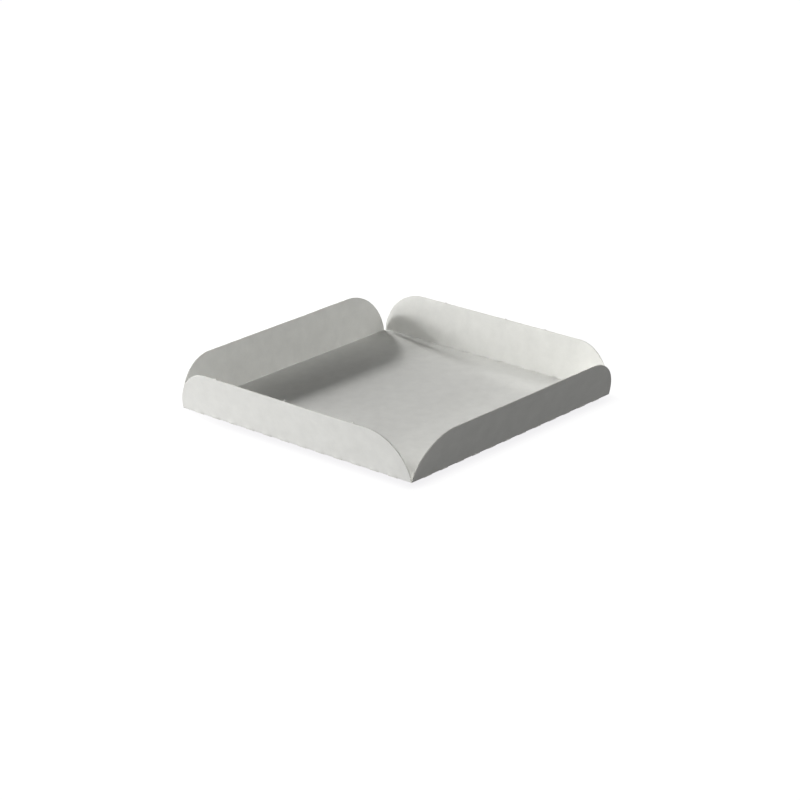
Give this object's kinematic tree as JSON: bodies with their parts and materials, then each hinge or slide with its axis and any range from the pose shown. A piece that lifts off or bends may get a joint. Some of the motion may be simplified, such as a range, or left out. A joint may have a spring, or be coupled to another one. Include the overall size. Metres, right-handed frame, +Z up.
{
  "type": "square cardboard tray",
  "caption": "Shallow square takeaway tray folded from one sheet of white board, with outward-leaning walls, rounded wall ends, perforated folds and open corners.",
  "frame": {"origin": "centre of the base's underside, half-way between opposite folds", "axes": "+Z up out of the base, +X and +Y along the folds, with the front wall at -Y and the most open wall at +X"},
  "size_m": [0.1711, 0.1685, 0.0253],
  "materials": {
    "board": "matt, uncoated, very slightly warm white"
  },
  "bodies": {
    "root": {"folded_tray": "board"}
  },
  "joints": []
}
